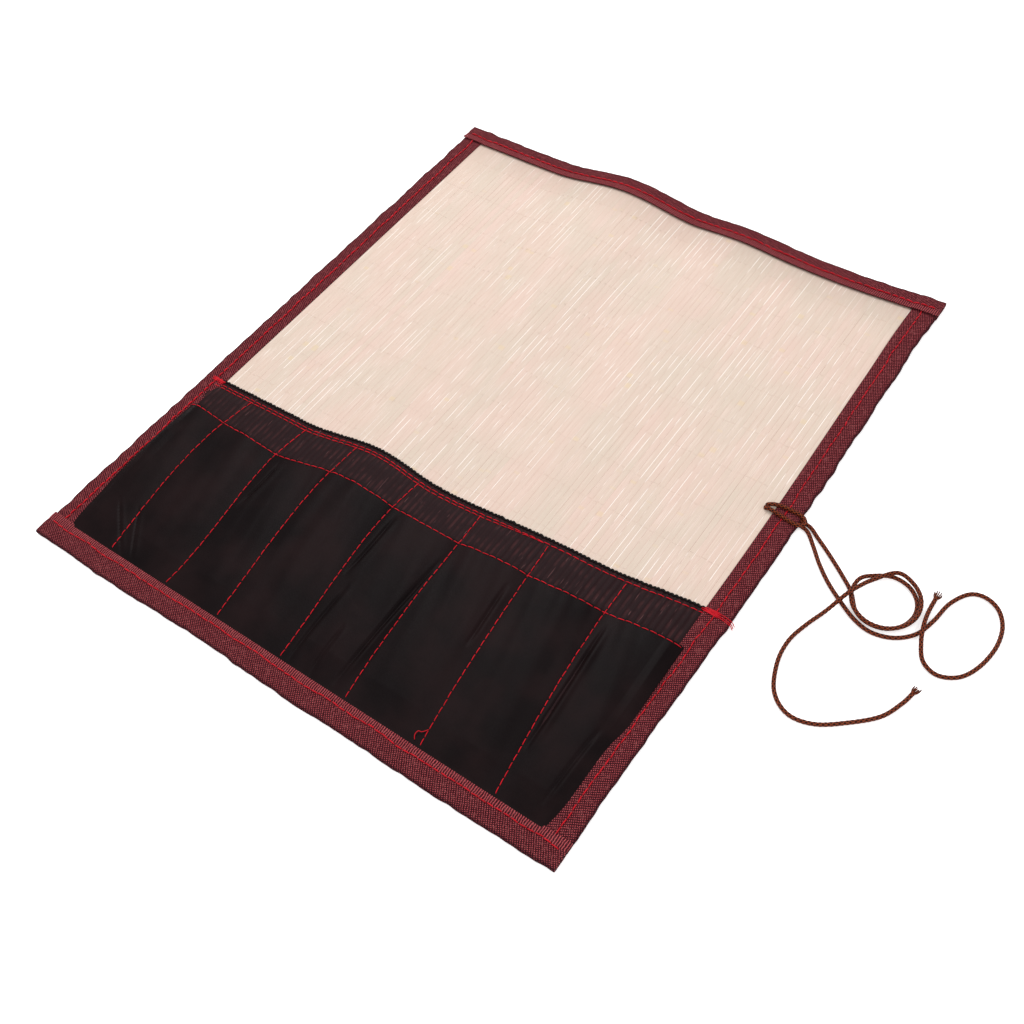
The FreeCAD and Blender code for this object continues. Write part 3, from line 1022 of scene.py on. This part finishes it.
def sew_pockets():
    """The dividers, the seam along the pockets' mouth, and one or two along the lining's edge."""
    for index in range(len(DIVIDERS)):
        ys = columns_between(FRONT + END_TAPE - 0.4, lining_line(divider(index, FRONT + 124)) - 3.2, 2.0)
        sew(np.column_stack([divider(index, ys), ys]), pocket_surface)
    xs = columns_between(CLOTH_LEFT + 0.6, CLOTH_RIGHT - 0.6, 2.0)
    sew(np.column_stack([xs, mouth_line(xs) - 0.5]), cloth_top)
    sew(np.column_stack([xs, lining_line(xs) - 2.7]), lining_top)
    lower = 4.3 - 1.5 * np.clip((xs - LEFT - 185) / 30, 0, 1)
    second = xs < LEFT + 215
    sew(np.column_stack([xs, lining_line(xs) - lower])[second], lining_top)


def on_bar_tack(x, y):
    return tape_top(x, y) + 0.3


def add_bar_tacks():
    """Short stitches over one another lock both ends of the lining's edge to the side tapes."""
    left_tack = (LEFT + 9, lining_line(LEFT) - 1, 0)
    right_tack = (RIGHT - 8, lining_line(RIGHT) - 1, PANELS)
    for x, y, stretch in (left_tack, right_tack):
        for _ in range(14):
            off, along = random.uniform(-1.1, 1.1), random.uniform(-0.8, 0.8)
            start = (x - 4 + along, y + off)
            end = (x + 4 + along, y + off + random.uniform(-0.8, 0.8))
            add_stitch(SEAMS[stretch], start, end, on_bar_tack, 0.20)


def add_loose_threads():
    """Three loose ends hang off the right bar tack, and a curl of thread ends the sixth divider."""
    hang = lining_line(RIGHT)
    for shift in (0.0, 1.1, -0.8):
        ends = [(RIGHT - 8, hang - 1, TAPE_TOP + 0.3), (RIGHT - 3, hang - 1.2 + shift, TAPE_TOP + 0.5)]
        ends += [(RIGHT + 2.0, hang - 1.8 + shift, TAPE_TOP), (RIGHT + 4.0, hang - 2.8 + shift, 1.0)]
        tube(SEAMS[PANELS], smooth_path(ends, 0.5), 0.22, 6, tone=0.6)
    x, y = float(divider(5, FRONT + 20)), FRONT + 20
    z = float(cloth_top(x, y)) + 0.3
    curl = [(x, y, z), (x - 1.6, y - 2.5, z + 0.6), (x - 3.0, y - 3.0, z + 0.8)]
    curl += [(x - 3.4, y - 5.0, z + 0.5), (x - 2.3, y - 6.8, z)]
    tube(SEAMS[stretch_at(x)], smooth_path(curl, 0.5), 0.2, 6, tone=0.4)


def make_stitching():
    random.seed(5)
    sew_tapes()
    sew_pockets()
    add_bar_tacks()
    add_loose_threads()
    for stretch, shape in enumerate(SEAMS):
        piece = shape.build("red_stitching_%02d" % stretch, [RED_THREAD])
        settle(piece, stretch)


# ---------------- cord

HITCH_LOW, HITCH_HIGH = box_mm("cord_hitch")
HITCH_Y = (HITCH_LOW[1] + HITCH_HIGH[1]) / 2
CORD_RADIUS = 1.0
CORD_LAYER = 2.33
ON_TABLE = CORD_RADIUS + 0.06
ON_TAPE = TAPE_TOP + CORD_RADIUS
COIL = (58.5, HITCH_Y - 18.3)


def braid(along, turns):
    """The bumps of an eight-strand braid."""
    one = np.cos(2 * math.pi * (4 * turns + along / BRAID_PITCH))
    two = np.cos(2 * math.pi * (4 * turns - along / BRAID_PITCH))
    return 0.90 + 0.10 * np.maximum(one, two)


def add_cord(shape, places):
    tube(shape, smooth_path(places, 0.25), CORD_RADIUS, 18, relief=braid)


def add_frayed_end(shape, tip, direction):
    """The cut end of the cord opens into its fibres."""
    direction = np.array(direction, float)
    direction /= np.linalg.norm(direction)
    for number in range(11):
        turn = 2 * math.pi * number / 11
        spread = np.array([-direction[1], direction[0], 0]) * math.cos(turn)
        spread = spread + np.array([0, 0, 1]) * math.sin(turn)
        reach = 1.6 + 1.5 * random.random()
        start = np.array(tip) - direction * 1.0 + spread * 0.6
        end = start + direction * (reach + 0.8) + spread * (0.5 + 0.9 * random.random())
        end[2] = max(end[2], 0.25)
        bend = (start + end) / 2 + spread * 0.25
        tube(shape, smooth_path([start, bend, end], 0.4), 0.24, 6, tone=0.5)


def make_hitch():
    """Two strands cross the tape, dive between the slats and bend round the tails outside."""
    shape = Shape()
    lift = float(wave(0.0, HITCH_Y))
    left = HITCH_LOW[0] + 0.4
    top = ON_TAPE + lift - 0.05
    places = [
        (left + 1.4, HITCH_Y + 0.4, SLAT_TOP - 1.0 + lift),
        (left + 0.6, HITCH_Y + 0.5, SLAT_TOP + 0.7 + lift),
        (left + 1.4, HITCH_Y + 0.9, SLAT_TOP + 1.5 + lift),
        (left + 4.0, HITCH_Y + 2.2, top + 0.1),
        (-1.5, HITCH_Y + 2.9, top),
        (5.0, HITCH_Y + 3.0, top - 0.1),
        (8.6, HITCH_Y + 2.4, top - 0.5),
        (10.6, HITCH_Y + 0.2, top - 0.2),
        (9.8, HITCH_Y - 2.0, top - 0.5),
        (6.4, HITCH_Y - 3.0, top - 0.2),
        (0.0, HITCH_Y - 2.3, top),
        (left + 4.5, HITCH_Y - 1.5, top),
        (left + 1.4, HITCH_Y - 1.3, SLAT_TOP + 1.4 + lift),
        (left + 0.5, HITCH_Y - 1.1, SLAT_TOP + 0.6 + lift),
        (left + 1.2, HITCH_Y - 0.9, SLAT_TOP - 1.0 + lift),
    ]
    add_cord(shape, places)
    piece = shape.build("cord_hitch_braid", [CORD])
    outward_normals(piece)
    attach(piece, "panel_16")
    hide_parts("cord_hitch")


def coil_places(from_angle, to_angle, from_radius, to_radius, low, high, count):
    """Places round the cord's coil, turning, widening and rising evenly."""
    places = []
    for step in range(count):
        share = step / (count - 1)
        angle = math.radians(from_angle + share * (to_angle - from_angle))
        radius = from_radius + share * (to_radius - from_radius)
        x, y = COIL[0] + radius * math.cos(angle), COIL[1] + radius * math.sin(angle)
        places.append((x, y, low + share * (high - low)))
    return places


def on_table(places):
    """Places given as (right of the edge, back from the hitch, layers below) put on the table."""
    return [(x, HITCH_Y + y, ON_TABLE + layers * CORD_LAYER) for x, y, layers in places]


def make_tails():
    random.seed(3)
    coiled = on_table([(5.4, 1.6, 0.1), (9.4, 1.2, 0.05), (13.6, 0.4, 0), (18.5, -2.8, 0)])
    coiled += on_table([(26.5, -8.0, 0), (36.5, -15.1, 0), (44.0, -21.2, 0)])
    coiled += coil_places(232, 492, 13.6, 13.6, ON_TABLE, ON_TABLE + 0.2 * CORD_LAYER, 9)
    coiled += coil_places(524, 816, 14.4, 15.2, ON_TABLE + CORD_LAYER, ON_TABLE + CORD_LAYER, 10)
    coiled += on_table([(49.5, -13.1, 1.4), (46.6, -19.5, 2.0), (43.6, -25.9, 1.7)])
    coiled += on_table([(39.6, -36.0, 0.3), (35.6, -46.5, 0), (33.0, -57.5, 0), (34.0, -69.5, 0)])
    coiled += on_table([(39.5, -82.5, 0), (49.0, -88.8, 0), (60.0, -87.1, 0), (71.0, -79.3, 0)])
    coiled += on_table([(81.0, -69.5, 0), (85.6, -59.5, 0), (87.5, -52.0, 0)])
    looped = on_table([(5.4, -0.9, 0.1), (9.4, -1.2, 0.05), (13.6, -2.6, 0), (19.5, -8.5, 0)])
    looped += on_table([(26.0, -15.5, 0), (34.0, -22.5, 0), (43.0, -28.5, 0), (52.0, -33.5, 0)])
    looped += on_table([(60.5, -35.3, 0), (69.5, -32.7, 0), (76.5, -26.1, 0), (79.8, -16.5, 0)])
    looped += on_table([(82.0, -4.5, 0), (87.0, 4.3, 0), (93.5, 6.5, 0), (100.5, 3.5, 0)])
    looped += on_table([(105.3, -4.0, 0), (106.8, -14.5, 0), (104.8, -26.5, 0), (100, -35.5, 0)])
    looped += on_table([(92.0, -39.6, 0), (84.5, -37.0, 0.2), (80.2, -30.0, 0.8)])
    looped += on_table([(77.6, -22.0, 1.1), (76.3, -13.5, 0.4), (76.0, -4.5, 0)])
    for name, places in (("coiled", coiled), ("looped", looped)):
        shape = Shape()
        add_cord(shape, places)
        add_frayed_end(shape, places[-1], np.array(places[-1]) - np.array(places[-2]))
        piece = shape.build("cord_%s_braid" % name, [CORD])
        outward_normals(piece)
        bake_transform(piece)
        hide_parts("cord_%s_tail" % name)


# ---------------- studio


def make_studio():
    """A white floor, a white sky and three softboxes."""
    n = Nodes("studio_floor")
    places = n.new("ShaderNodeTexCoord")
    grain = n.noise(places.outputs["Object"], 40.0)
    n.finish(n.mix(grain, (0.93, 0.93, 0.93), (0.94, 0.94, 0.94)), 0.9, 0.1)
    n.surface.inputs["Emission Color"].default_value = (1, 1, 1, 1)
    n.surface.inputs["Emission Strength"].default_value = 0.5
    bpy.ops.mesh.primitive_plane_add(size=20, location=(0, 0, -0.0002))
    floor = bpy.context.object
    floor.name = "floor"
    floor.data.materials.append(n.material)

    world = bpy.data.worlds.new("studio")
    bpy.context.scene.world = world
    world.use_nodes = True
    sky = world.node_tree.nodes["Background"]
    sky.inputs[0].default_value = (1, 1, 1, 1)
    # The sky lights the case at half strength, but is plain white to the camera.
    rays = world.node_tree.nodes.new("ShaderNodeLightPath")
    strength = world.node_tree.nodes.new("ShaderNodeMapRange")
    strength.inputs["To Min"].default_value = 0.5
    world.node_tree.links.new(rays.outputs["Is Camera Ray"], strength.inputs["Value"])
    world.node_tree.links.new(strength.outputs["Result"], sky.inputs[1])

    centre = Vector(((LEFT + RIGHT) / 2, 0, 0)) * MM
    for place, size, power in (
        ((-0.55, 0.75, 1.1), 0.8, 12.0),
        ((0.9, -0.2, 1.2), 0.8, 6.0),
        ((-0.5, -0.9, 1.0), 0.8, 4.0),
    ):
        lamp = bpy.data.lights.new("softbox", "AREA")
        lamp.size = size
        lamp.energy = power
        holder = bpy.data.objects.new("softbox", lamp)
        holder.location = centre + Vector(place)
        holder.rotation_mode = "QUATERNION"
        holder.rotation_quaternion = (-Vector(place)).to_track_quat("-Z", "Y")
        bpy.context.scene.collection.objects.link(holder)


def make_camera():
    """In front of the mat and to its right, looking down and left, and leaning a little."""
    data = bpy.data.cameras.new("camera")
    data.sensor_width = 36
    data.lens = 43.04
    camera = bpy.data.objects.new("camera", data)
    camera.location = (0.1243, -0.3061, 0.4637)
    camera.rotation_mode = "QUATERNION"
    look = Vector((-0.4018, 0.4459, -0.7998))
    tilt = Quaternion((0, 0, 1), math.radians(-8.14))
    camera.rotation_quaternion = look.to_track_quat("-Z", "Y") @ tilt
    bpy.context.scene.collection.objects.link(camera)
    bpy.context.scene.camera = camera


make_slats()
make_end_tapes()
make_side_tapes()
make_pocket_pieces()
make_stitching()
make_hitch()
make_tails()
make_studio()
make_camera()
bpy.context.scene.view_settings.view_transform = "Standard"

bpy.context.view_layer.update()
